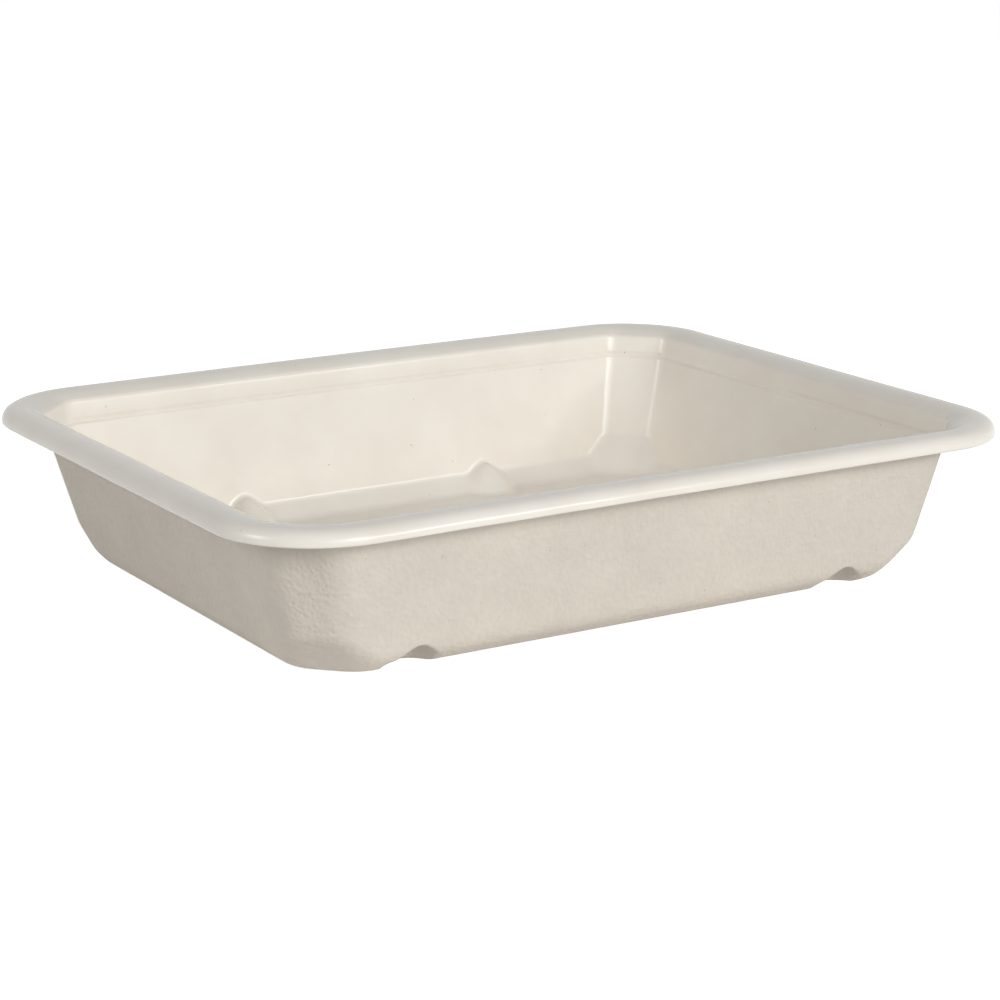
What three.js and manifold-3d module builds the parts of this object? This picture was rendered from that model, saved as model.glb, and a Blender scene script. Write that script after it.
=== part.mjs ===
// A meal tray pressed in one piece from sugarcane fibre pulp.
// Its wall is one thin skin: a flat base, sloping walls with flat faces across the corners,
// and a rim that turns down at its edge. Millimetres, +Z up, origin under the middle of the base.
import * as THREE from 'three';
import { mergeVertices } from 'three/addons/utils/BufferGeometryUtils.js';
import Module from 'manifold-3d';

// Outline over the rim, and overall height
const rimLength = 227;
const rimWidth = 179;
const rimCornerRadius = 28;
const height = 43;

// Thickness of the pulp
const wallThickness = 1.1;
const bandThickness = 0.75;
const rimThickness = 1.0;

// Rim: a lip that curls down outside the crown, and a top that slopes inwards from it
const lipWidth = 5;
const lipDrop = 4;
const rimSlope = 0.32;
const shoulderRadius = 1.2;

// Walls: how far in they stand from the rim's edge, and how much they lean for each mm down
const wallInset = 12.05;
const wallInsetHeight = 34.3;
const endLean = 0.265;
const sideLean = 0.19;
const flangeBlend = 2.2;

// Step on the inside, where the thinner band below the rim ends
const stepTop = 36.5;
const stepDrop = 2;

// Foot: the sloping blend between the long and short walls and the base
const footHeight = 4.7;
const baseInset = 24.3;
const footRadius = 7;

// Corner faces: flat, at 45 degrees, with a large bevel down to the base
const cornerInset = 25.3;
const cornerLean = 0.286;
const cornerFootHeight = 10.9;
const cornerBaseInset = 42;
const cornerFootRadius = 7;
const outerEdgeRadius = 10;
const innerEdgeRadius = 5.5;

// Lugs that keep nested trays apart: dents that stand proud inside. A taper of 1 is a dome, 2 a cone.
const lugHalfWidth = 8.2;
const lugReach = 9.9;
const lugHeight = 9.4;
const lugInset = 19.8;
const lugTaper = 1.45;
const frontLugOffset = 64.3;
const backLugOffset = 39.8;

// Fineness of the curves
const cornerSteps = 4;
const blendSteps = 3;
const lipSteps = 5;
const levelGap = 0.2;
const blendRoom = 0.49;
const lugRings = 7;
const lugSides = 28;
const weldDistance = 1e-4;

const halfLength = rimLength / 2;
const halfWidth = rimWidth / 2;
const eighthTurn = Math.PI / 4;
const point = (inset, z) => new THREE.Vector2(inset, z);

// A section is a list of points (inset, height). Each way out of the tray has its own section:
// to the ends, to the sides and to the corners. A corner's inset is measured square to its face.
const cornerShare = Math.SQRT2 - 1;
const cornerOf = (inset) => inset + rimCornerRadius * cornerShare;

// Where two lines meet, each given by two points
function meet(a, b, c, d) {
  const along = b.clone().sub(a);
  const other = d.clone().sub(c);
  const share = c.clone().sub(a).cross(other) / along.cross(other);
  return a.clone().addScaledVector(along, share);
}

// A run of straight lines moved to its right by a thickness
function offsetRun(run, thickness) {
  const lines = run.slice(1).map((end, i) => {
    const start = run[i];
    const along = end.clone().sub(start).normalize();
    const shift = point(along.y, -along.x).multiplyScalar(thickness);
    return [start.clone().add(shift), end.clone().add(shift)];
  });
  return run.map((_, i) => {
    if (i === 0) return lines[0][0];
    if (i === lines.length) return lines[i - 1][1];
    return meet(...lines[i - 1], ...lines[i]);
  });
}

// A round of equal points in place of the sharp point between its neighbours
function blend(before, corner, after, radius, steps = blendSteps) {
  const back = before.clone().sub(corner);
  const ahead = after.clone().sub(corner);
  const cosine = back.dot(ahead) / back.length() / ahead.length();
  const half = Math.acos(THREE.MathUtils.clamp(cosine, -1, 1)) / 2;
  const room = blendRoom * Math.min(back.length(), ahead.length());
  const reach = Math.min(radius / Math.tan(half), room);
  const start = corner.clone().addScaledVector(back.normalize(), reach);
  const end = corner.clone().addScaledVector(ahead.normalize(), reach);
  const middle = back.add(ahead).normalize().multiplyScalar(reach / Math.cos(half)).add(corner);
  const from = start.clone().sub(middle);
  const turn = Math.asin(THREE.MathUtils.clamp(
    from.clone().normalize().cross(end.clone().sub(middle).normalize()), -1, 1));
  return Array.from({ length: steps + 1 }, (_, i) =>
    from.clone().rotateAround(point(0, 0), turn * i / steps).add(middle));
}

// The whole section one way. The feet run up from the flat base, outside and inside;
// the rest goes round the rim from the wall's top outside to the step inside.
function section(way) {
  const wallAt = (z) => point(way.inset + way.lean * (wallInsetHeight - z), z);
  const footEdge = point(way.baseInset, 0);
  const footTop = wallAt(way.footHeight);
  const crown = point(way.rimInset + lipWidth, height);
  const slopeEnd = point(crown.x + 1, height - rimSlope);
  const underside = offsetRun([crown, slopeEnd], rimThickness);
  const wallTop = meet(footTop, wallAt(height), ...underside);
  const baseMiddle = point(way.baseInset + 2 * way.footRadius, 0);
  const inside = offsetRun([baseMiddle, footEdge, footTop, wallTop], wallThickness);
  const band = offsetRun([footTop, wallTop], bandThickness);
  const shoulder = meet(...band, crown, slopeEnd);
  const on = (line, z) => meet(line[0], line[1], point(0, z), point(1, z));
  const stepStart = on(band, stepTop);
  const stepEnd = on([inside[2], inside[3]], stepTop - stepDrop);
  const lipRound = (width, drop, share) => {
    const angle = share * Math.PI / 2;
    return point(crown.x - width * Math.sin(angle), height - lipDrop + drop * Math.cos(angle));
  };
  const shares = Array.from({ length: lipSteps + 1 }, (_, i) => i / lipSteps);
  return {
    outerFoot: [
      ...blend(baseMiddle, footEdge, footTop, way.footRadius),
      ...blend(footEdge, footTop, wallTop, way.footRadius),
      wallAt(stepTop - stepDrop),
    ],
    flange: blend(footTop, wallTop, underside[0], flangeBlend),
    lip: [
      ...shares.map((s) => lipRound(lipWidth - rimThickness, lipDrop - rimThickness, s)),
      ...shares.map((s) => lipRound(lipWidth, lipDrop, 1 - s)),
    ],
    shoulder: [...blend(crown, shoulder, stepStart, shoulderRadius), stepStart],
    innerFoot: [
      ...blend(inside[0], inside[1], inside[2], way.footRadius - wallThickness),
      ...blend(inside[1], inside[2], inside[3], way.footRadius - wallThickness),
      stepEnd,
    ],
  };
}

const ends = section({
  inset: wallInset, lean: endLean, baseInset, footHeight, footRadius, rimInset: 0,
});
const sides = section({
  inset: wallInset, lean: sideLean, baseInset, footHeight, footRadius, rimInset: 0,
});
const corners = section({
  inset: cornerInset, lean: cornerLean, baseInset: cornerBaseInset, footHeight: cornerFootHeight,
  footRadius: cornerFootRadius, rimInset: cornerOf(0),
});

// One level line round the tray: four straight walls joined by corner faces with rounded edges
function ring(end, side, corner, edgeRadius) {
  const x = halfLength - end.x;
  const y = halfWidth - side.x;
  const reach = halfLength + halfWidth - corner.x * Math.SQRT2;
  const endEdge = point(x, reach - x);
  const sideEdge = point(reach - y, y);
  const room = endEdge.distanceTo(sideEdge) / 2;
  const radius = Math.min(edgeRadius, room / Math.tan(eighthTurn / 2));
  const first = blend(point(x, 0), endEdge, sideEdge, radius, cornerSteps);
  const second = blend(endEdge, sideEdge, point(0, y), radius, cornerSteps);
  const quarter = [
    ...first.map((p, i) => [p.x, p.y, THREE.MathUtils.lerp(end.y, corner.y, i / cornerSteps)]),
    ...second.map((p, i) => [p.x, p.y, THREE.MathUtils.lerp(corner.y, side.y, i / cornerSteps)]),
  ];
  const mirrored = quarter.map(([px, py, pz]) => [-px, py, pz]).reverse();
  const half = [...quarter, ...mirrored];
  return [...half, ...half.map(([px, py, pz]) => [-px, -py, pz])];
}

// Rings through matching points of the three sections
function rings(part, edgeRadius) {
  return ends[part].map((end, i) => ring(end, sides[part][i], corners[part][i], edgeRadius(end)));
}

// Where a run that climbs from point to point reaches a height
function at(run, z) {
  const above = run.findIndex((p, i) => i > 0 && (p.y >= z || i === run.length - 1));
  const below = run[above - 1];
  const share = (z - below.y) / (run[above].y - below.y);
  return below.clone().lerp(run[above], THREE.MathUtils.clamp(share, 0, 1));
}

// Rings at shared levels, because a corner's foot starts higher up than a wall's
function levelRings(part, edgeRadius) {
  const heights = [...sides[part], ...corners[part]].map((p) => p.y).sort((a, b) => a - b);
  const levels = [];
  for (const z of heights) {
    if (levels.length === 0 || z - levels.at(-1) > levelGap) levels.push(z);
  }
  levels[levels.length - 1] = heights.at(-1);
  return levels.map((z) => ring(at(ends[part], z), at(sides[part], z), at(corners[part], z), edgeRadius));
}

// A closed skin through the rings in turn, with a flat fan of faces over the first and the last
function skin(loops) {
  const count = loops[0].length;
  const middle = (loop) => [0, 0, loop[0][2]];
  const positions = [...loops.flat(), middle(loops[0]), middle(loops.at(-1))].flat();
  const faces = [];
  const firstMiddle = loops.length * count;
  const lastStart = firstMiddle - count;
  for (let i = 0; i < count; i++) {
    const next = (i + 1) % count;
    faces.push(firstMiddle, next, i);
    faces.push(firstMiddle + 1, lastStart + i, lastStart + next);
    for (let start = 0; start < lastStart; start += count) {
      const above = start + count;
      faces.push(start + i, start + next, above + next);
      faces.push(start + i, above + next, above + i);
    }
  }
  const geometry = new THREE.BufferGeometry();
  geometry.setAttribute('position', new THREE.Float32BufferAttribute(positions, 3));
  geometry.setIndex(faces);
  return geometry;
}

// The round lug, as a solid that bulges up and inwards from the foot of a wall. It runs on below
// the base by its own height, so that nothing of its flat end shows.
function lug(x, wallSide, grow) {
  const outline = Array.from({ length: lugRings + 1 }, (_, i) => {
    const angle = i / lugRings * Math.PI / 2;
    return point(Math.cos(angle) ** lugTaper, Math.sin(angle) ** lugTaper);
  });
  outline[lugRings].x = 0;
  const geometry = new THREE.LatheGeometry([point(0, -1), point(1, -1), ...outline], lugSides);
  geometry.rotateX(Math.PI / 2);
  geometry.scale(lugHalfWidth + grow, lugReach + grow, lugHeight + grow);
  geometry.translate(x, wallSide * (halfWidth - lugInset), 0);
  return geometry;
}

const wasm = await Module();
wasm.setup();

function solid(geometry) {
  geometry.deleteAttribute('normal');
  geometry.deleteAttribute('uv');
  const merged = mergeVertices(geometry, weldDistance);
  return new wasm.Manifold(new wasm.Mesh({
    numProp: 3,
    vertProperties: merged.attributes.position.array,
    triVerts: new Uint32Array(merged.index.array),
  }));
}

const outerWall = [...levelRings('outerFoot', outerEdgeRadius), ...rings('flange', () => outerEdgeRadius)];
const lip = rings('lip', (end) => rimCornerRadius - end.x);
const innerWall = [
  ...rings('shoulder', () => innerEdgeRadius),
  ...levelRings('innerFoot', innerEdgeRadius).reverse(),
];
const filled = solid(skin([...outerWall, ...lip.slice(lipSteps + 1)]));
let pulp = solid(skin([...outerWall, ...lip, ...innerWall]));

for (const mirror of [-1, 1]) {
  for (const [wallSide, offset] of [[-1, frontLugOffset], [1, backLugOffset]]) {
    const bump = solid(lug(mirror * offset, wallSide, 0)).intersect(filled);
    const dent = solid(lug(mirror * offset, wallSide, -wallThickness));
    pulp = pulp.add(bump).subtract(dent);
  }
}

const result = pulp.getMesh();
const geometry = new THREE.BufferGeometry();
geometry.setAttribute('position', new THREE.Float32BufferAttribute(result.vertProperties, 3));
geometry.setIndex(new THREE.Uint32BufferAttribute(result.triVerts, 1));
geometry.computeVertexNormals();

// Natural sugarcane fibre: warm off-white and matt
const fibre = new THREE.MeshStandardMaterial({ color: 0xeee6d8, roughness: 0.7, metalness: 0 });
const tray = new THREE.Mesh(geometry, fibre);
tray.name = 'tray';

const mealTray = new THREE.Group();
mealTray.add(tray);

export default mealTray;
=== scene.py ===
# %% [markdown]
# # A moulded fibre meal tray
#
# The real tray is one thin skin. Wet sugarcane fibre is drawn onto a wire screen and then pressed
# hot, so its upper side is smooth and slightly shiny and its underside keeps the screen's grain.
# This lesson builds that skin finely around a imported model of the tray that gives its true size.
# Everything is worked out in millimetres and turned to metres when a mesh is made.

# %% The frame, and the tray's overall size
import math

import bpy
import numpy as np
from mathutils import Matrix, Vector


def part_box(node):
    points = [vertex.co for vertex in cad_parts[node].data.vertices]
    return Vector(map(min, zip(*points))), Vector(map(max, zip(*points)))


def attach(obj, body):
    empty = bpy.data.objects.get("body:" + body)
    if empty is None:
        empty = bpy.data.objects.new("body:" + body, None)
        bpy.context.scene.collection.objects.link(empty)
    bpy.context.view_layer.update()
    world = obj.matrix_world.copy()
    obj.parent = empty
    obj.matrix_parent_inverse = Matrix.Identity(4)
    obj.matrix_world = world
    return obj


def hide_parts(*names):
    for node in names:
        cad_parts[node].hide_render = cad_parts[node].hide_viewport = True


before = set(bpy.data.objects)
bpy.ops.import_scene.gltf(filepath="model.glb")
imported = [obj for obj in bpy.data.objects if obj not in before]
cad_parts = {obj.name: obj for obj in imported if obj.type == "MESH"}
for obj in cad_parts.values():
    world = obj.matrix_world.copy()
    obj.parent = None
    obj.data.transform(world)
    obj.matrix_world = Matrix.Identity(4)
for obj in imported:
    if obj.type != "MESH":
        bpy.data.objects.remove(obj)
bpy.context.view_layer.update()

MM = 0.001
low, high = (np.array(corner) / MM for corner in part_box("tray"))
rim_length, rim_width, height = high - low
half_length, half_width = rim_length / 2, rim_width / 2
print("tray", rim_length.round(1), "x", rim_width.round(1), "x", height.round(1), "mm")

# %% [markdown]
# A designer draws a pressed tray as a section: one line that runs from the base up the wall, over
# the rim and back down inside. Only a few sizes drive it. The long sides, the ends and the corners
# each have a section of their own, because they lean by different amounts.

# %% Sizes of the section, in millimetres
RIM_CORNER_RADIUS = 28
WALL_THICKNESS = 1.1
BAND_THICKNESS = 0.95
RIM_THICKNESS = 1.0
LIP_WIDTH, LIP_DROP, LIP_EDGE_ROUND = 5, 4, 0.3
RIM_SLOPE = 0.32
LIP_FULLNESS = 0.8
SHOULDER_RADIUS = 2.0
FLANGE_BLEND = 2.2
WALL_INSET, WALL_INSET_HEIGHT = 12.05, 34.3
END_LEAN, SIDE_LEAN = 0.265, 0.19
GROOVE_TOP, GROOVE_BOTTOM, GROOVE_END = 36.3, 35.0, 34.4
GROOVE_THICKNESS, GROOVE_ROUND = 0.34, 0.35
FOOT_HEIGHT, BASE_INSET, FOOT_RADIUS = 4.7, 24.3, 7
INNER_FOOT_RADIUS = 2.5
CORNER_INSET, CORNER_LEAN = 25.3, 0.286
CORNER_FOOT_HEIGHT, CORNER_BASE_INSET, CORNER_FOOT_RADIUS = 10.9, 42, 7
OUTER_EDGE_RADIUS, INNER_EDGE_RADIUS = 10, 5.5

# %% [markdown]
# Three small geometry helpers do all the drawing: where two lines meet, a run of lines moved
# sideways by a thickness, and a round in place of a sharp point. Each works on plain 2-D points.

# %% Helpers for drawing a section
BLEND_ROOM = 0.49


def meet(a, b, c, d):
    """Where the line through a and b meets the line through c and d."""
    along, other = b - a, d - c
    across = along[0] * other[1] - along[1] * other[0]
    gap = c - a
    return a + along * (gap[0] * other[1] - gap[1] * other[0]) / across


def offset_run(run, thickness):
    """The run of straight lines moved to its right by a thickness."""
    lines = []
    for start, end in zip(run, run[1:]):
        along = (end - start) / np.linalg.norm(end - start)
        shift = np.array([along[1], -along[0]]) * thickness
        lines.append((start + shift, end + shift))
    inner = [meet(*before, *after) for before, after in zip(lines, lines[1:])]
    return [lines[0][0], *inner, lines[-1][1]]


def blend(before, corner, after, radius, steps):
    """Points of a round that replaces the corner, from the line before it to the line after."""
    back, ahead = before - corner, after - corner
    room = BLEND_ROOM * min(np.linalg.norm(back), np.linalg.norm(ahead))
    back, ahead = back / np.linalg.norm(back), ahead / np.linalg.norm(ahead)
    half = math.acos(np.clip(back @ ahead, -1, 1)) / 2
    reach = min(radius / math.tan(half), room)
    middle = corner + (back + ahead) / np.linalg.norm(back + ahead) * reach / math.cos(half)
    start, end = corner + back * reach - middle, corner + ahead * reach - middle
    turn = math.asin(np.clip((start[0] * end[1] - start[1] * end[0]) / (start @ start), -1, 1))
    angles = np.linspace(0, turn, steps + 1)
    cos, sin = np.cos(angles), np.sin(angles)
    turned = [start[0] * cos - start[1] * sin, start[0] * sin + start[1] * cos]
    return np.column_stack(turned) + middle


square = [np.array(point, dtype=float) for point in ((0, 0), (10, 0), (10, 10))]
print("a square corner rounded by 3 mm starts at", blend(*square, 3, 4)[0])


# %% [markdown]
# The lip that turns down at the edge is a quarter of a superellipse, which can be a little fuller
# than a circle. It is drawn twice, outside and inside the pulp, and a narrow edge joins the two.

# %% The lip
LIP_STEPS = 16


def lip_round(crown, width, drop):
    """A full quarter round, from the crown out and down."""
    angles = np.linspace(0, math.pi / 2, LIP_STEPS + 1)
    out, up = np.sin(angles) ** LIP_FULLNESS, np.cos(angles).clip(0) ** LIP_FULLNESS
    return np.column_stack([crown[0] - width * out, height - LIP_DROP + drop * up])


def lip_sides(crown):
    """The lip's inner side down to its lower edge, and its outer side from that edge up."""
    inner = lip_round(crown, LIP_WIDTH - RIM_THICKNESS, LIP_DROP - RIM_THICKNESS)
    outer = lip_round(crown, LIP_WIDTH, LIP_DROP)[::-1]
    edge = LIP_EDGE_ROUND
    inner[-1] += (0, edge)
    outer[0] += (0, edge)
    lower_edge = np.array([inner[-1] + (-edge, -edge), outer[0] + (edge, -edge)])
    return np.vstack([inner, lower_edge]), outer


print("lip:", LIP_WIDTH, "mm wide,", LIP_DROP, "mm deep")

# %% [markdown]
# A section is made once for the ends, once for the long sides and once for the corners. Points are
# (inset, height): the inset is measured in from the rim's outer edge, square to the wall. The
# rim's top is a shallow dome. The band below it is thinner, and ends in a pressed groove where the
# wall takes its full thickness. A corner's inset is larger by what the rim's rounding takes away.

# %% The three sections
BLEND_STEPS = 9
GROOVE_STEPS = (3, 4, 3)
DOME_SHARES = np.array([0.12, 0.25, 0.38, 0.5, 0.62, 0.74])
corner_share = math.sqrt(2) - 1


def on(line, z):
    """The point of a line at one height."""
    return meet(*line, np.array([0.0, z]), np.array([1.0, z]))


def section(inset, lean, base_inset, foot_height, foot_radius, rim_inset=0.0):
    """The runs of one section: up the outside, over the rim and down the inside."""
    def wall_at(z):
        return np.array([inset + lean * (WALL_INSET_HEIGHT - z), z])

    foot_edge, foot_top = np.array([base_inset, 0.0]), wall_at(foot_height)
    base_middle = np.array([base_inset + 2 * foot_radius, 0.0])
    crown = np.array([rim_inset + LIP_WIDTH, height])
    slope_end = crown + (1, -RIM_SLOPE)
    underside = offset_run([crown, slope_end], RIM_THICKNESS)
    wall_top = meet(foot_top, wall_at(height), *underside)
    inside = offset_run([base_middle, foot_edge, foot_top, wall_top], WALL_THICKNESS)
    band = offset_run([foot_top, wall_top], BAND_THICKNESS)
    groove = offset_run([foot_top, wall_top], GROOVE_THICKNESS)

    shoulder = meet(*band, crown, slope_end)
    dome_end = shoulder - crown
    dome = crown + np.column_stack([DOME_SHARES * dome_end[0], DOME_SHARES ** 2 * dome_end[1]])
    before_shoulder = shoulder - (dome_end[0], 2 * dome_end[1])
    groove_run = [shoulder, on(band, GROOVE_TOP), on(groove, GROOVE_BOTTOM),
                  on(inside[2:4], GROOVE_END), inside[2]]
    below_groove = GROOVE_END - GROOVE_ROUND
    lip_inside, lip_outside = lip_sides(crown)
    return {
        "outer_foot": np.vstack([
            blend(base_middle, foot_edge, foot_top, foot_radius, BLEND_STEPS),
            blend(foot_edge, foot_top, wall_top, foot_radius, BLEND_STEPS),
            [wall_at(below_groove)]]),
        "flange": blend(foot_top, wall_top, underside[0], FLANGE_BLEND, BLEND_STEPS),
        "lip_inside": lip_inside,
        "lip_outside": lip_outside,
        "shoulder": np.vstack([
            dome,
            blend(before_shoulder, *groove_run[0:2], SHOULDER_RADIUS, BLEND_STEPS),
            *(blend(*groove_run[k:k + 3], GROOVE_ROUND, steps)
              for k, steps in enumerate(GROOVE_STEPS))]),
        "inner_foot": np.vstack([
            blend(*inside[0:3], foot_radius - WALL_THICKNESS, BLEND_STEPS),
            blend(*inside[1:4], INNER_FOOT_RADIUS, BLEND_STEPS),
            [on(inside[2:4], below_groove)]]),
    }


ends = section(WALL_INSET, END_LEAN, BASE_INSET, FOOT_HEIGHT, FOOT_RADIUS)
sides = section(WALL_INSET, SIDE_LEAN, BASE_INSET, FOOT_HEIGHT, FOOT_RADIUS)
corners = section(CORNER_INSET, CORNER_LEAN, CORNER_BASE_INSET, CORNER_FOOT_HEIGHT,
                  CORNER_FOOT_RADIUS, rim_inset=RIM_CORNER_RADIUS * corner_share)
print("section points:", sum(len(run) for run in sides.values()))

# %% [markdown]
# Two stacking lugs stand in each long wall, further apart in front (-1) than at the back (1). The
# points along a wall crowd together there, and keep their places from ring to ring.

# %% Places along a long wall
LUG_OFFSET = {-1: 64.3, 1: 39.8}
LUG_ZONE, LUG_SPACING, WALL_SPACING = 11, 0.6, 3.2
LONG_REACH, LONG_END_POINTS, LONG_END_ROOM = 76, 5, 1


def long_side_stations(wall_side):
    """Places along a long wall, closer together at its two lugs."""
    places = [0.0]
    while places[-1] < LONG_REACH:
        near = abs(places[-1] - LUG_OFFSET[wall_side]) < LUG_ZONE
        places.append(places[-1] + (LUG_SPACING if near else WALL_SPACING))
    places = np.array(places) * LONG_REACH / places[-1]
    return np.concatenate([-places[:0:-1], places])


stations = {side: long_side_stations(side) for side in (-1, 1)}


def straight_long(wall_side, x_end, y):
    """The points of one long wall in a ring, with a few more up to its ends."""
    share = min(1.0, x_end / (LONG_REACH + LONG_END_ROOM))
    places = stations[wall_side] * share
    tail = np.linspace(places[-1], x_end, LONG_END_POINTS + 2)[1:-1]
    x = np.concatenate([-tail[::-1], places, tail])
    return np.column_stack([x, np.full(len(x), y)])


print("points along the front and back walls:", *(len(places) for places in stations.values()))

# %% [markdown]
# A ring is one level line round the tray: four straight walls joined by flat corner faces with
# rounded edges. With a large edge radius the face vanishes and the ring is a rounded rectangle, so
# one rule gives both the rim and the walls.

# %% Rings
END_POINTS, FACE_POINTS, ARC_POINTS = 40, 5, 8
FACE_ROOM = 0.96
eighth_turn = math.pi / 4


def quarter_corner(x, y, corner_inset, edge_radius):
    """A corner's rounded edges and face, from the end wall to the long wall."""
    reach = half_length + half_width - corner_inset * math.sqrt(2)
    end_edge, side_edge = np.array([x, reach - x]), np.array([reach - y, y])
    room = np.linalg.norm(end_edge - side_edge) / 2
    radius = min(edge_radius, FACE_ROOM * room / math.tan(eighth_turn / 2))
    first = blend(np.array([x, 0]), end_edge, side_edge, radius, ARC_POINTS)
    second = blend(end_edge, side_edge, np.array([0, y]), radius, ARC_POINTS)
    face = np.linspace(first[-1], second[0], FACE_POINTS + 2)[1:-1]
    return np.vstack([first, face, second])


def at_level(points, z):
    return np.column_stack([points, np.full(len(points), z)])


def ring(end, side, corner, edge_radius):
    """One ring, from a point of each section: (inset, height) at the end, side and corner."""
    x, y = half_length - end[0], half_width - side[0]
    flat = quarter_corner(x, y, corner[0], edge_radius)
    share = np.linspace(0, 2, len(flat))
    level = np.where(share < 1, end[1] + (corner[1] - end[1]) * share,
                     corner[1] + (side[1] - corner[1]) * (share - 1))
    right_back = np.column_stack([flat, level])
    back = straight_long(1, flat[-1][0], y)[::-1]
    front = straight_long(-1, flat[-1][0], -y)
    left_end = np.linspace(flat[0][1], -flat[0][1], END_POINTS + 2)[1:-1]
    turned = right_back[::-1]
    return np.vstack([
        right_back, at_level(back, side[1]), turned * (-1, 1, 1),
        at_level(np.column_stack([np.full(END_POINTS, -x), left_end]), end[1]),
        right_back * (-1, -1, 1), at_level(front, side[1]), turned * (1, -1, 1),
        at_level(np.column_stack([np.full(END_POINTS, x), -left_end]), end[1]),
    ])


def rings(part, edge_radius):
    """A ring for each point of one part of the sections."""
    return [ring(end, side, corner, edge_radius(end[0]))
            for end, side, corner in zip(ends[part], sides[part], corners[part])]


crown_ring = rings("shoulder", lambda _: RIM_CORNER_RADIUS)[0]
print("a ring has", len(crown_ring), "points")

# %% [markdown]
# The foot of a corner starts higher up than the foot of a wall, so below the rim the rings are
# taken at shared levels and each section is asked how far in it stands there. The flat base and
# the floor are closed by rings that first keep their distance and then shrink to the middle. On
# the rim's dome, the edges' radius fades from the rim's to that of the inner wall.

# %% Level rings, and the flat base
FINE_TOP, FINE_STEP, COARSE_STEP = 13.0, 0.7, 2.2
LEVEL_GAP, LEVEL_MARGIN = 0.03, 1
BASE_STEP, BASE_STEPS, FADE_STEPS = 0.8, 12, 2
BASE_SHARES = (0.93, 0.84, 0.74, 0.63, 0.5, 0.36, 0.2, 0.07)


def level_rings(part, edge_radius):
    """Rings at shared levels, close together near the foot."""
    top = sides[part][-1][1]
    floor = sides[part][0][1]
    extra = [np.arange(floor + LEVEL_MARGIN, FINE_TOP, FINE_STEP),
             np.arange(FINE_TOP, top - LEVEL_MARGIN, COARSE_STEP)]
    heights = np.sort(np.concatenate([sides[part][:, 1], corners[part][:, 1], *extra]))
    levels = [heights[0]]
    for z in heights[1:]:
        if z - levels[-1] > LEVEL_GAP:
            levels.append(z)
    levels[-1] = top

    def at(run, z):
        return np.array([np.interp(z, run[:, 1], run[:, 0]), z])

    return [ring(at(ends[part], z), at(sides[part], z), at(corners[part], z), edge_radius)
            for z in levels]


def base_rings(part, edge_radius):
    """Rings on the flat, from the foot's edge to near the middle."""
    first = [run[part][0] for run in (ends, sides, corners)]
    flat = [ring(*(point + (BASE_STEP * k, 0) for point in first), edge_radius)
            for k in range(1, BASE_STEPS + 1)]
    return flat + [flat[-1] * (share, share, 1) for share in BASE_SHARES]


outer_base = base_rings("outer_foot", OUTER_EDGE_RADIUS)[::-1]
flange = rings("flange", lambda _: OUTER_EDGE_RADIUS)
outer_wall = level_rings("outer_foot", OUTER_EDGE_RADIUS) + flange
lip_inside = rings("lip_inside", lambda inset: RIM_CORNER_RADIUS - inset)
lip_outside = rings("lip_outside", lambda inset: RIM_CORNER_RADIUS - inset)
dome_insets = (LIP_WIDTH, ends["shoulder"][len(DOME_SHARES) + FADE_STEPS][0])
dome_radii = (RIM_CORNER_RADIUS - LIP_WIDTH, INNER_EDGE_RADIUS)
shoulder = rings("shoulder", lambda inset: np.interp(inset, dome_insets, dome_radii))
inner_wall = shoulder + level_rings("inner_foot", INNER_EDGE_RADIUS)[::-1]
inner_base = base_rings("inner_foot", INNER_EDGE_RADIUS)
screen_side = outer_base + outer_wall + lip_inside
pressed_side = lip_outside + inner_wall + inner_base
print("rings:", len(screen_side), "outside and", len(pressed_side), "inside")

# %% [markdown]
# The lugs are dents pushed up and inwards from the foot, with the pulp following the punch on both
# sides. Each point near a lug slides along the push until it is clear of the punch. A smooth
# minimum of the two distances gives the soft edge that wet pulp takes round a punch.

# %% Pressing the lugs
LUG_HALF_WIDTH, LUG_REACH, LUG_HEIGHT = 7.9, 9.9, 8.6
LUG_INSET, LUG_TAPER = 20.2, 1.45
LUG_SOFTNESS = {"outer": 1.2, "inner": 1.7}
LUG_MARGIN = np.array([4, 6, 7])
PUSH_SLOPE = 0.8
PUSH_LENGTHS = np.linspace(-2, 16, 289)
PUSH_STEP = PUSH_LENGTHS[1] - PUSH_LENGTHS[0]


def punch_distance(points, centre_x, wall_side, grow):
    """Roughly how far points lie outside the punch, in mm; below zero inside it."""
    size = np.array([LUG_HALF_WIDTH, LUG_REACH, LUG_HEIGHT]) + grow
    shifted = (points - (centre_x, wall_side * (half_width - LUG_INSET), 0)) / size
    around = np.hypot(shifted[..., 0], shifted[..., 1])
    up = np.maximum(shifted[..., 2], 0)
    power = 2 / LUG_TAPER
    return ((around ** power + up ** power) ** (1 / power) - 1) * size[0]


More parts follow.
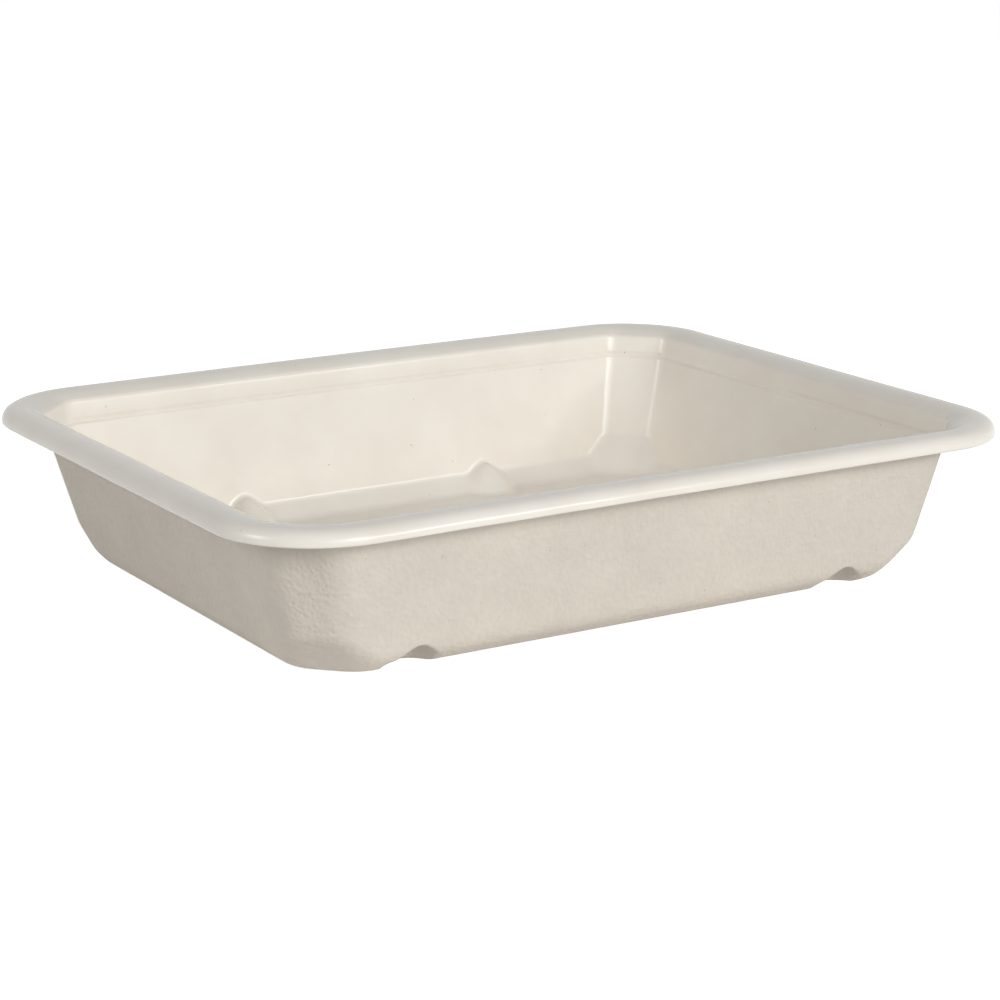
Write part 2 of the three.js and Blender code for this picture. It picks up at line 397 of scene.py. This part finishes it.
def press_lugs(points, grow, softness):
    """The points with all four lugs pressed in."""
    wide, deep, high = np.array([LUG_HALF_WIDTH, LUG_REACH, LUG_HEIGHT]) + LUG_MARGIN
    moved = points.copy()
    for wall_side in (-1, 1):
        push = np.array([0, -wall_side, 1]) / math.sqrt(2)
        for centre_x in (-LUG_OFFSET[wall_side], LUG_OFFSET[wall_side]):
            near = ((abs(points[:, 0] - centre_x) < wide) & (points[:, 2] < high)
                    & (points[:, 1] * wall_side > half_width - LUG_INSET - deep))
            start = points[near]
            path = start[:, None, :] + PUSH_LENGTHS[None, :, None] * push
            punch = punch_distance(path, centre_x, wall_side, grow)
            sheet = np.broadcast_to(PUSH_LENGTHS * PUSH_SLOPE, punch.shape)
            close = np.maximum(softness - abs(punch - sheet), 0)
            clear = np.minimum(punch, sheet) - close ** 2 / (4 * softness)
            last = clear.shape[1] - 1 - np.argmax((clear < 0)[:, ::-1], axis=1)
            rows = np.arange(len(start))
            here, there = clear[rows, last], clear[rows, last + 1]
            length = PUSH_LENGTHS[last] + PUSH_STEP * here / (here - there)
            moved[near] = start + length[:, None] * push
    return moved


print("lugs:", 2 * LUG_HALF_WIDTH, "mm wide and", LUG_HEIGHT, "mm high")

# %% [markdown]
# Pulp dries as it leaves the press, so a real tray isn't dead straight: its long rims bow up a
# touch in the middle and its walls ripple by a tenth of a millimetre. A few slow waves do that, the
# same on both sides of the skin, so that its thickness stays true.

# %% Drying bow and ripple
RIM_BOW = 0.3
RIPPLE = 0.07
RIPPLE_LENGTHS = (61.0, 43.0, 29.0)


def dry(points):
    """The points with the bow and the ripple added."""
    x, y, z = points.T
    rise = RIM_BOW * (1 - (x / half_length) ** 2) * (z / height) ** 2
    wave = sum(np.sin(2 * math.pi * x / length + 3 * k) * np.sin(2 * math.pi * y / length + k)
               * np.sin(2 * math.pi * z / length) for k, length in enumerate(RIPPLE_LENGTHS))
    outwards = np.column_stack([x / half_length, y / half_width, np.zeros(len(x))])
    return points + outwards * (RIPPLE * wave)[:, None] + np.column_stack([0 * x, 0 * x, rise])


print("the long rims bow up by", RIM_BOW, "mm")

# %% [markdown]
# The rings are now joined into one closed skin, by quads between neighbours and a fan at each end.
# The faces of the two sides get their own material slots, because they look different.

# %% The tray's mesh
SCREEN_SLOT, PRESSED_SLOT = 0, 1
CUBIC_CM = (10 * MM) ** 3


def closed_skin(name, loops, screen_loops):
    """One closed mesh through the rings, the first of which belong to the screen side."""
    count = len(loops[0])
    points = np.vstack(loops)
    this = np.arange(count)
    following = (this + 1) % count
    starts = np.arange(len(loops) - 1)[:, None] * count
    quads = np.stack([starts + this, starts + following,
                      starts + count + following, starts + count + this], -1)
    first_middle, last_middle = len(points), len(points) + 1
    points = np.vstack([points, [[0, 0, loops[0][0][2]], [0, 0, loops[-1][0][2]]]])
    last = (len(loops) - 1) * count
    faces = quads.reshape(-1, 4).tolist()
    faces += [(first_middle, b, a) for a, b in zip(this.tolist(), following.tolist())]
    faces += [(last_middle, last + a, last + b) for a, b in zip(this.tolist(), following.tolist())]
    mesh = bpy.data.meshes.new(name)
    mesh.from_pydata((points * MM).tolist(), [], faces)
    mesh.update()
    slots = np.full(len(faces), SCREEN_SLOT)
    slots[(screen_loops - 1) * count:quads.shape[0] * count] = PRESSED_SLOT
    slots[-count:] = PRESSED_SLOT
    mesh.polygons.foreach_set("material_index", slots)
    mesh.polygons.foreach_set("use_smooth", np.ones(len(faces), dtype=bool))
    return mesh


def shaped(loops, grow, softness):
    """The rings with the lugs pressed in and the drying shape added."""
    count = len(loops[0])
    points = dry(press_lugs(np.vstack(loops), grow, softness))
    return list(points.reshape(-1, count, 3))


outside = shaped(screen_side, -WALL_THICKNESS, LUG_SOFTNESS["outer"])
inside = shaped(pressed_side, 0, LUG_SOFTNESS["inner"])
tray_mesh = closed_skin("moulded_tray", outside + inside, len(outside))
tray = bpy.data.objects.new("moulded_tray", tray_mesh)
bpy.context.scene.collection.objects.link(tray)
volume = sum(face.center.dot(face.normal) * face.area for face in tray_mesh.polygons) / 3
print("tray mesh:", len(tray_mesh.polygons), "faces")
print("pulp:", round(volume / CUBIC_CM, 1), "cubic cm")

# %% [markdown]
# Colours are written as sRGB hex, as a picture editor shows them, and one function turns them to
# the linear numbers that shaders use. One more function adds a node with its settings and links,
# and pulp's soft changes of tone come from a ramp between two colours.

# %% Colour and node helpers


def linear(hex_colour):
    channels = [int(hex_colour[i:i + 2], 16) / 255 for i in (1, 3, 5)]
    return [c / 12.92 if c <= 0.04045 else ((c + 0.055) / 1.055) ** 2.4 for c in channels] + [1.0]


def add_node(tree, kind, settings=(), **inputs):
    """A new node; each input is named, or numbered as _0, and takes a value or a link."""
    node = tree.nodes.new(kind)
    for name, value in dict(settings).items():
        setattr(node, name, value)
    for name, value in inputs.items():
        key = int(name[1:]) if name[1:].isdigit() else name.replace("_", " ")
        socket = node.inputs[key]
        if isinstance(value, bpy.types.NodeSocket):
            tree.links.new(value, socket)
        else:
            socket.default_value = value
    return node


def new_material(name):
    material = bpy.data.materials.new(name)
    material.use_nodes = True
    material.node_tree.nodes.clear()
    return material, material.node_tree


def per_metre(size_mm):
    """The texture scale at which a pattern repeats about every size_mm."""
    return 1 / (size_mm * MM)


def tone_run(tree, amount, *stops):
    """A ramp through stops of (place, hex colour)."""
    ramp = add_node(tree, "ShaderNodeValToRGB", Fac=amount)
    for element, (place, hex_colour) in zip(ramp.color_ramp.elements, stops):
        element.position = place
        element.color = linear(hex_colour)
    return ramp.outputs["Color"]


# E2DACE is the paler end of the screen side's colour, which holds painted shade.
print("pale pulp, #E2DACE, is", [round(channel, 3) for channel in linear("#E2DACE")[:3]])

# %% [markdown]
# The screen side is bagasse as the wire leaves it: matt, with a pebbled grain a little over a
# millimetre apart and soft cloudy patches where the pulp settled thicker or thinner. Its colour
# is a little greyer than the pressed side's, and darker as painted shade for the small shadows in
# its grain. The real screen's grain is finer than a picture shows, so it is drawn just coarse
# enough to see.

# %% Moulded bagasse, screen side
PULP_IOR = 1.48
GRAIN_MM, FIBRE_MM, MOTTLE_MM, CLOUD_MM = 1.25, 0.5, 2.2, 14.0
GRAIN_RELIEF_MM = 0.2


def screen_side_pulp():
    material, tree = new_material("bagasse_screen_side_painted_shade")
    place = add_node(tree, "ShaderNodeTexCoord").outputs["Object"]
    clouds = add_node(tree, "ShaderNodeTexNoise", Vector=place, Scale=per_metre(CLOUD_MM),
                      Detail=3.0)
    mottle = add_node(tree, "ShaderNodeTexNoise", Vector=place, Scale=per_metre(MOTTLE_MM),
                      Detail=4.0)
    mixed = add_node(tree, "ShaderNodeMath", {"operation": "MULTIPLY_ADD"},
                     _0=clouds.outputs["Fac"], _1=0.6, _2=0.2)
    mixed = add_node(tree, "ShaderNodeMath", {"operation": "MULTIPLY_ADD"},
                     _0=mottle.outputs["Fac"], _1=0.4, _2=mixed.outputs[0])
    # Both tones are darker than the pulp's own: painted shade for the grain's small shadows.
    tone = tone_run(tree, mixed.outputs[0], (0.3, "#D3CBC0"), (0.9, "#E2DACE"))
    grain = add_node(tree, "ShaderNodeTexVoronoi", {"feature": "SMOOTH_F1"},
                     Vector=place, Scale=per_metre(GRAIN_MM), Smoothness=0.6)
    fibres = add_node(tree, "ShaderNodeTexNoise", Vector=place, Scale=per_metre(FIBRE_MM),
                      Detail=3.0)
    relief = add_node(tree, "ShaderNodeMath", {"operation": "MULTIPLY_ADD"},
                      _0=fibres.outputs["Fac"], _1=0.5, _2=grain.outputs["Distance"])
    bump = add_node(tree, "ShaderNodeBump", Strength=1.0, Distance=GRAIN_RELIEF_MM * MM,
                    Height=relief.outputs[0])
    shader = add_node(tree, "ShaderNodeBsdfPrincipled", Base_Color=tone, Roughness=0.8,
                      IOR=PULP_IOR, Normal=bump.outputs["Normal"])
    add_node(tree, "ShaderNodeOutputMaterial", Surface=shader.outputs["BSDF"])
    return material


# %% [markdown]
# The pressed side has met a polished hot plate. It is smoother, with a satin gloss that draws thin
# bright lines along the lip and the inside edges, and it keeps the pulp's own pale colour, without
# the painted shade in the screen side's colour. The gloss varies a little with the fibres in it,
# because they take the polish differently.

# %% Moulded bagasse, pressed side
PRESSED_SHEEN = 0.46
PRESSED_ROUGHNESS = (0.2, 0.28)
PRESSED_FIBRE_MM, PRESSED_CLOUD_MM, PRESSED_RELIEF_MM = 1.4, 18, 0.03


def pressed_side_pulp():
    material, tree = new_material("bagasse_pressed_side")
    place = add_node(tree, "ShaderNodeTexCoord").outputs["Object"]
    clouds = add_node(tree, "ShaderNodeTexNoise", Vector=place, Scale=per_metre(PRESSED_CLOUD_MM),
                      Detail=3.0)
    tone = tone_run(tree, clouds.outputs["Fac"], (0.3, "#F5EEE3"), (0.7, "#FAF5EB"))
    fibres = add_node(tree, "ShaderNodeTexNoise", Vector=place, Scale=per_metre(PRESSED_FIBRE_MM),
                      Detail=5.0, Distortion=0.6)
    gloss = add_node(tree, "ShaderNodeMapRange", Value=fibres.outputs["Fac"],
                     To_Min=PRESSED_ROUGHNESS[0], To_Max=PRESSED_ROUGHNESS[1])
    bump = add_node(tree, "ShaderNodeBump", Strength=0.1, Distance=PRESSED_RELIEF_MM * MM,
                    Height=fibres.outputs["Fac"])
    shader = add_node(tree, "ShaderNodeBsdfPrincipled", Base_Color=tone,
                      Roughness=gloss.outputs["Result"], IOR=PULP_IOR,
                      Specular_IOR_Level=PRESSED_SHEEN, Normal=bump.outputs["Normal"])
    add_node(tree, "ShaderNodeOutputMaterial", Surface=shader.outputs["BSDF"])
    return material


tray_mesh.materials.append(screen_side_pulp())
tray_mesh.materials.append(pressed_side_pulp())
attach(tray, "root")
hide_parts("tray")
print("the tray wears", *(material.name for material in tray_mesh.materials))

# %% [markdown]
# Bagasse is never quite clean: small tan shreds of cane rind lie in both faces of the skin. They
# follow a rule, so Geometry Nodes scatters them: points on the skin, one flat shred on each, turned
# and sized at random from a fixed seed. The result is kept as a plain mesh.

# %% Shreds of cane rind
SHRED_DENSITY, SHRED_SEED, SHRED_FACES = 1300.0, 7, 80
SHRED_SMALLEST, SHRED_LARGEST = (0.14, 0.05, 0.012), (0.36, 0.12, 0.025)


def shred_nodes(material):
    """The node tree that scatters shreds on a skin, and its inputs by name."""
    group = bpy.data.node_groups.new("cane_shreds", "GeometryNodeTree")
    new_socket = group.interface.new_socket
    new_socket("Skin", in_out="INPUT", socket_type="NodeSocketGeometry")
    inputs = {name: new_socket(name, in_out="INPUT", socket_type=kind) for name, kind in (
        ("Density", "NodeSocketFloat"), ("Seed", "NodeSocketInt"),
        ("Smallest", "NodeSocketVector"), ("Largest", "NodeSocketVector"))}
    new_socket("Shreds", in_out="OUTPUT", socket_type="NodeSocketGeometry")
    given = add_node(group, "NodeGroupInput").outputs
    points = add_node(group, "GeometryNodeDistributePointsOnFaces", Mesh=given["Skin"],
                      Density=given["Density"], Seed=given["Seed"])
    spin = add_node(group, "FunctionNodeRandomValue", {"data_type": "FLOAT"}, _2=0.0, _3=math.pi,
                    Seed=given["Seed"])
    turned = add_node(group, "FunctionNodeAxisAngleToRotation", Axis=(0, 0, 1),
                      Angle=spin.outputs[1])
    turned = add_node(group, "FunctionNodeRotateRotation", {"rotation_space": "LOCAL"},
                      Rotation=points.outputs["Rotation"], Rotate_By=turned.outputs["Rotation"])
    size = add_node(group, "FunctionNodeRandomValue", {"data_type": "FLOAT_VECTOR"},
                    _0=given["Smallest"], _1=given["Largest"], Seed=given["Seed"])
    shred = add_node(group, "GeometryNodeMeshIcoSphere", Radius=1.0, Subdivisions=2)
    placed = add_node(group, "GeometryNodeInstanceOnPoints", Points=points.outputs["Points"],
                      Instance=shred.outputs["Mesh"], Rotation=turned.outputs["Rotation"],
                      Scale=size.outputs[0])
    real = add_node(group, "GeometryNodeRealizeInstances", Geometry=placed.outputs["Instances"])
    painted = add_node(group, "GeometryNodeSetMaterial", Geometry=real.outputs["Geometry"],
                       Material=material)
    add_node(group, "NodeGroupOutput", Shreds=painted.outputs["Geometry"])
    return group, inputs


def cane_rind():
    material, tree = new_material("dried_cane_rind")
    shader = add_node(tree, "ShaderNodeBsdfPrincipled", Base_Color=linear("#A79A86"),
                      Roughness=0.75, IOR=PULP_IOR)
    add_node(tree, "ShaderNodeOutputMaterial", Surface=shader.outputs["BSDF"])
    return material


def scatter_shreds(skin):
    """The shreds as an object of their own, with a plain mesh."""
    carrier = bpy.data.objects.new("carrier", skin)
    bpy.context.scene.collection.objects.link(carrier)
    group, inputs = shred_nodes(cane_rind())
    modifier = carrier.modifiers.new("shreds", "NODES")
    modifier.node_group = group
    values = {"Density": SHRED_DENSITY, "Seed": SHRED_SEED,
              "Smallest": [radius * MM for radius in SHRED_SMALLEST],
              "Largest": [radius * MM for radius in SHRED_LARGEST]}
    for name, value in values.items():
        modifier[inputs[name].identifier] = value
    graph = bpy.context.evaluated_depsgraph_get()
    mesh = bpy.data.meshes.new_from_object(carrier.evaluated_get(graph))
    bpy.data.objects.remove(carrier)
    mesh.name = "cane_shreds"
    shreds = bpy.data.objects.new("cane_shreds", mesh)
    bpy.context.scene.collection.objects.link(shreds)
    return shreds


shreds = scatter_shreds(tray_mesh)
print("shreds on the skin:", len(shreds.data.polygons) // SHRED_FACES)
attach(shreds, "root")

# %% [markdown]
# A product picture stands on a plain pale floor. The floor catches the tray's soft shadow, and a
# glow lifts it to white. The glow shows only to the camera and in reflections, so it adds no light.

# %% Floor
FLOOR_SIZE = 12.0
FLOOR_GLOW = 0.78


def seen_directly(tree):
    """1 for camera, glossy and transmitted rays, and 0 for the rays that light things."""
    path = add_node(tree, "ShaderNodeLightPath")
    either = add_node(tree, "ShaderNodeMath", {"operation": "MAXIMUM"},
                      _0=path.outputs["Is Camera Ray"], _1=path.outputs["Is Glossy Ray"])
    either = add_node(tree, "ShaderNodeMath", {"operation": "MAXIMUM"},
                      _0=either.outputs[0], _1=path.outputs["Is Transmission Ray"])
    return either.outputs[0]


def studio_floor():
    mesh = bpy.data.meshes.new("floor")
    half = FLOOR_SIZE / 2
    square = [(-half, -half, 0), (half, -half, 0), (half, half, 0), (-half, half, 0)]
    mesh.from_pydata(square, [], [(0, 1, 2, 3)])
    material, tree = new_material("pale_floor")
    paint = add_node(tree, "ShaderNodeBsdfDiffuse", Color=linear("#F4F4F4"))
    glow = add_node(tree, "ShaderNodeEmission", Color=(1, 1, 1, 1))
    strength = add_node(tree, "ShaderNodeMath", {"operation": "MULTIPLY"},
                        _0=seen_directly(tree), _1=FLOOR_GLOW)
    tree.links.new(strength.outputs[0], glow.inputs["Strength"])
    both = add_node(tree, "ShaderNodeAddShader",
                    _0=paint.outputs["BSDF"], _1=glow.outputs["Emission"])
    add_node(tree, "ShaderNodeOutputMaterial", Surface=both.outputs["Shader"])
    mesh.materials.append(material)
    floor = bpy.data.objects.new("floor", mesh)
    bpy.context.scene.collection.objects.link(floor)


studio_floor()
print("floor:", FLOOR_SIZE, "m square")

# %% [markdown]
# The world is handled in the same way: white to the camera and in reflections, and a grey that
# lights the tray evenly. The grey is paler near the horizon, because the picture's light is low.

# %% World
HORIZON_LEVEL, ZENITH_LEVEL = 0.43, 0.02


def studio_world():
    world = bpy.data.worlds.new("studio")
    world.use_nodes = True
    tree = world.node_tree
    tree.nodes.clear()
    direction = add_node(tree, "ShaderNodeTexCoord").outputs["Generated"]
    heights = add_node(tree, "ShaderNodeSeparateXYZ", Vector=direction)
    level = add_node(tree, "ShaderNodeMapRange", Value=heights.outputs["Z"],
                     To_Min=HORIZON_LEVEL, To_Max=ZENITH_LEVEL)
    level = add_node(tree, "ShaderNodeMapRange", Value=seen_directly(tree),
                     To_Min=level.outputs["Result"], To_Max=1.0)
    sky = add_node(tree, "ShaderNodeBackground", Color=(1, 1, 1, 1),
                   Strength=level.outputs["Result"])
    add_node(tree, "ShaderNodeOutputWorld", Surface=sky.outputs["Background"])
    bpy.context.scene.world = world


studio_world()
print("world: level", HORIZON_LEVEL, "at the horizon and", ZENITH_LEVEL, "overhead")

# %% [markdown]
# The light comes mostly from in front, a little above the table: the front wall and the inside of
# the back wall are bright, and the left end is darker. The key is large and far enough away to
# light the front and the back of the tray alike. A small lamp to its right draws the bright streak
# along the lip, a faint one to its left softens the corner, and a fill lights the left end.

# %% Soft boxes


def soft_box(name, place, size, share):
    """A square lamp aimed at the tray; share is how bright white paper facing it would look."""
    lamp = bpy.data.lights.new(name, "AREA")
    lamp.size = size
    distance = Vector(place).length
    lamp.energy = share * math.pi ** 2 * distance ** 2
    item = bpy.data.objects.new(name, lamp)
    item.location = place
    item.rotation_euler = (-Vector(place)).to_track_quat("-Z", "Y").to_euler()
    bpy.context.scene.collection.objects.link(item)
    print(name, "lamp at", round(distance, 2), "m, with a share of", share)


soft_box("key", (0.43, -2.78, 1.08), 1.0, 0.42)
soft_box("front_right", (1.4, -2.45, 1.0), 0.28, 0.1)
soft_box("front_left", (-0.6, -2.75, 1.0), 0.5, 0.07)
soft_box("left_fill", (-2.65, 0.15, 1.35), 0.9, 0.225)

# %% [markdown]
# The camera is where the photographer stood: about 0.74 m away, to the left of the front, and
# looking down by a little under 15 degrees. The long lens keeps the tray's edges nearly parallel.

# %% Camera
CAMERA_AZIMUTH, CAMERA_ELEVATION = math.radians(-31.66), math.radians(14.58)
CAMERA_DISTANCE, CAMERA_LENS = 0.7433, 98.91
AIM_HEIGHT, AIM_RIGHT = 0.0179, 0.0017


def aim_camera():
    """A camera that looks at a point a little right of the tray's middle, at mid height."""
    camera = bpy.data.objects.new("camera", bpy.data.cameras.new("camera"))
    camera.data.lens = CAMERA_LENS
    camera.data.sensor_width = 36
    turn, rise = CAMERA_AZIMUTH, CAMERA_ELEVATION
    back = Vector((math.sin(turn) * math.cos(rise),
                   -math.cos(turn) * math.cos(rise), math.sin(rise)))
    aim = Vector((math.cos(turn) * AIM_RIGHT, math.sin(turn) * AIM_RIGHT, AIM_HEIGHT))
    camera.location = aim + back * CAMERA_DISTANCE
    camera.rotation_euler = back.to_track_quat("Z", "Y").to_euler()
    bpy.context.scene.collection.objects.link(camera)
    bpy.context.scene.camera = camera


aim_camera()
bpy.context.scene.view_settings.view_transform = "Standard"
print("camera", CAMERA_DISTANCE, "m away, with a lens of", CAMERA_LENS, "mm")
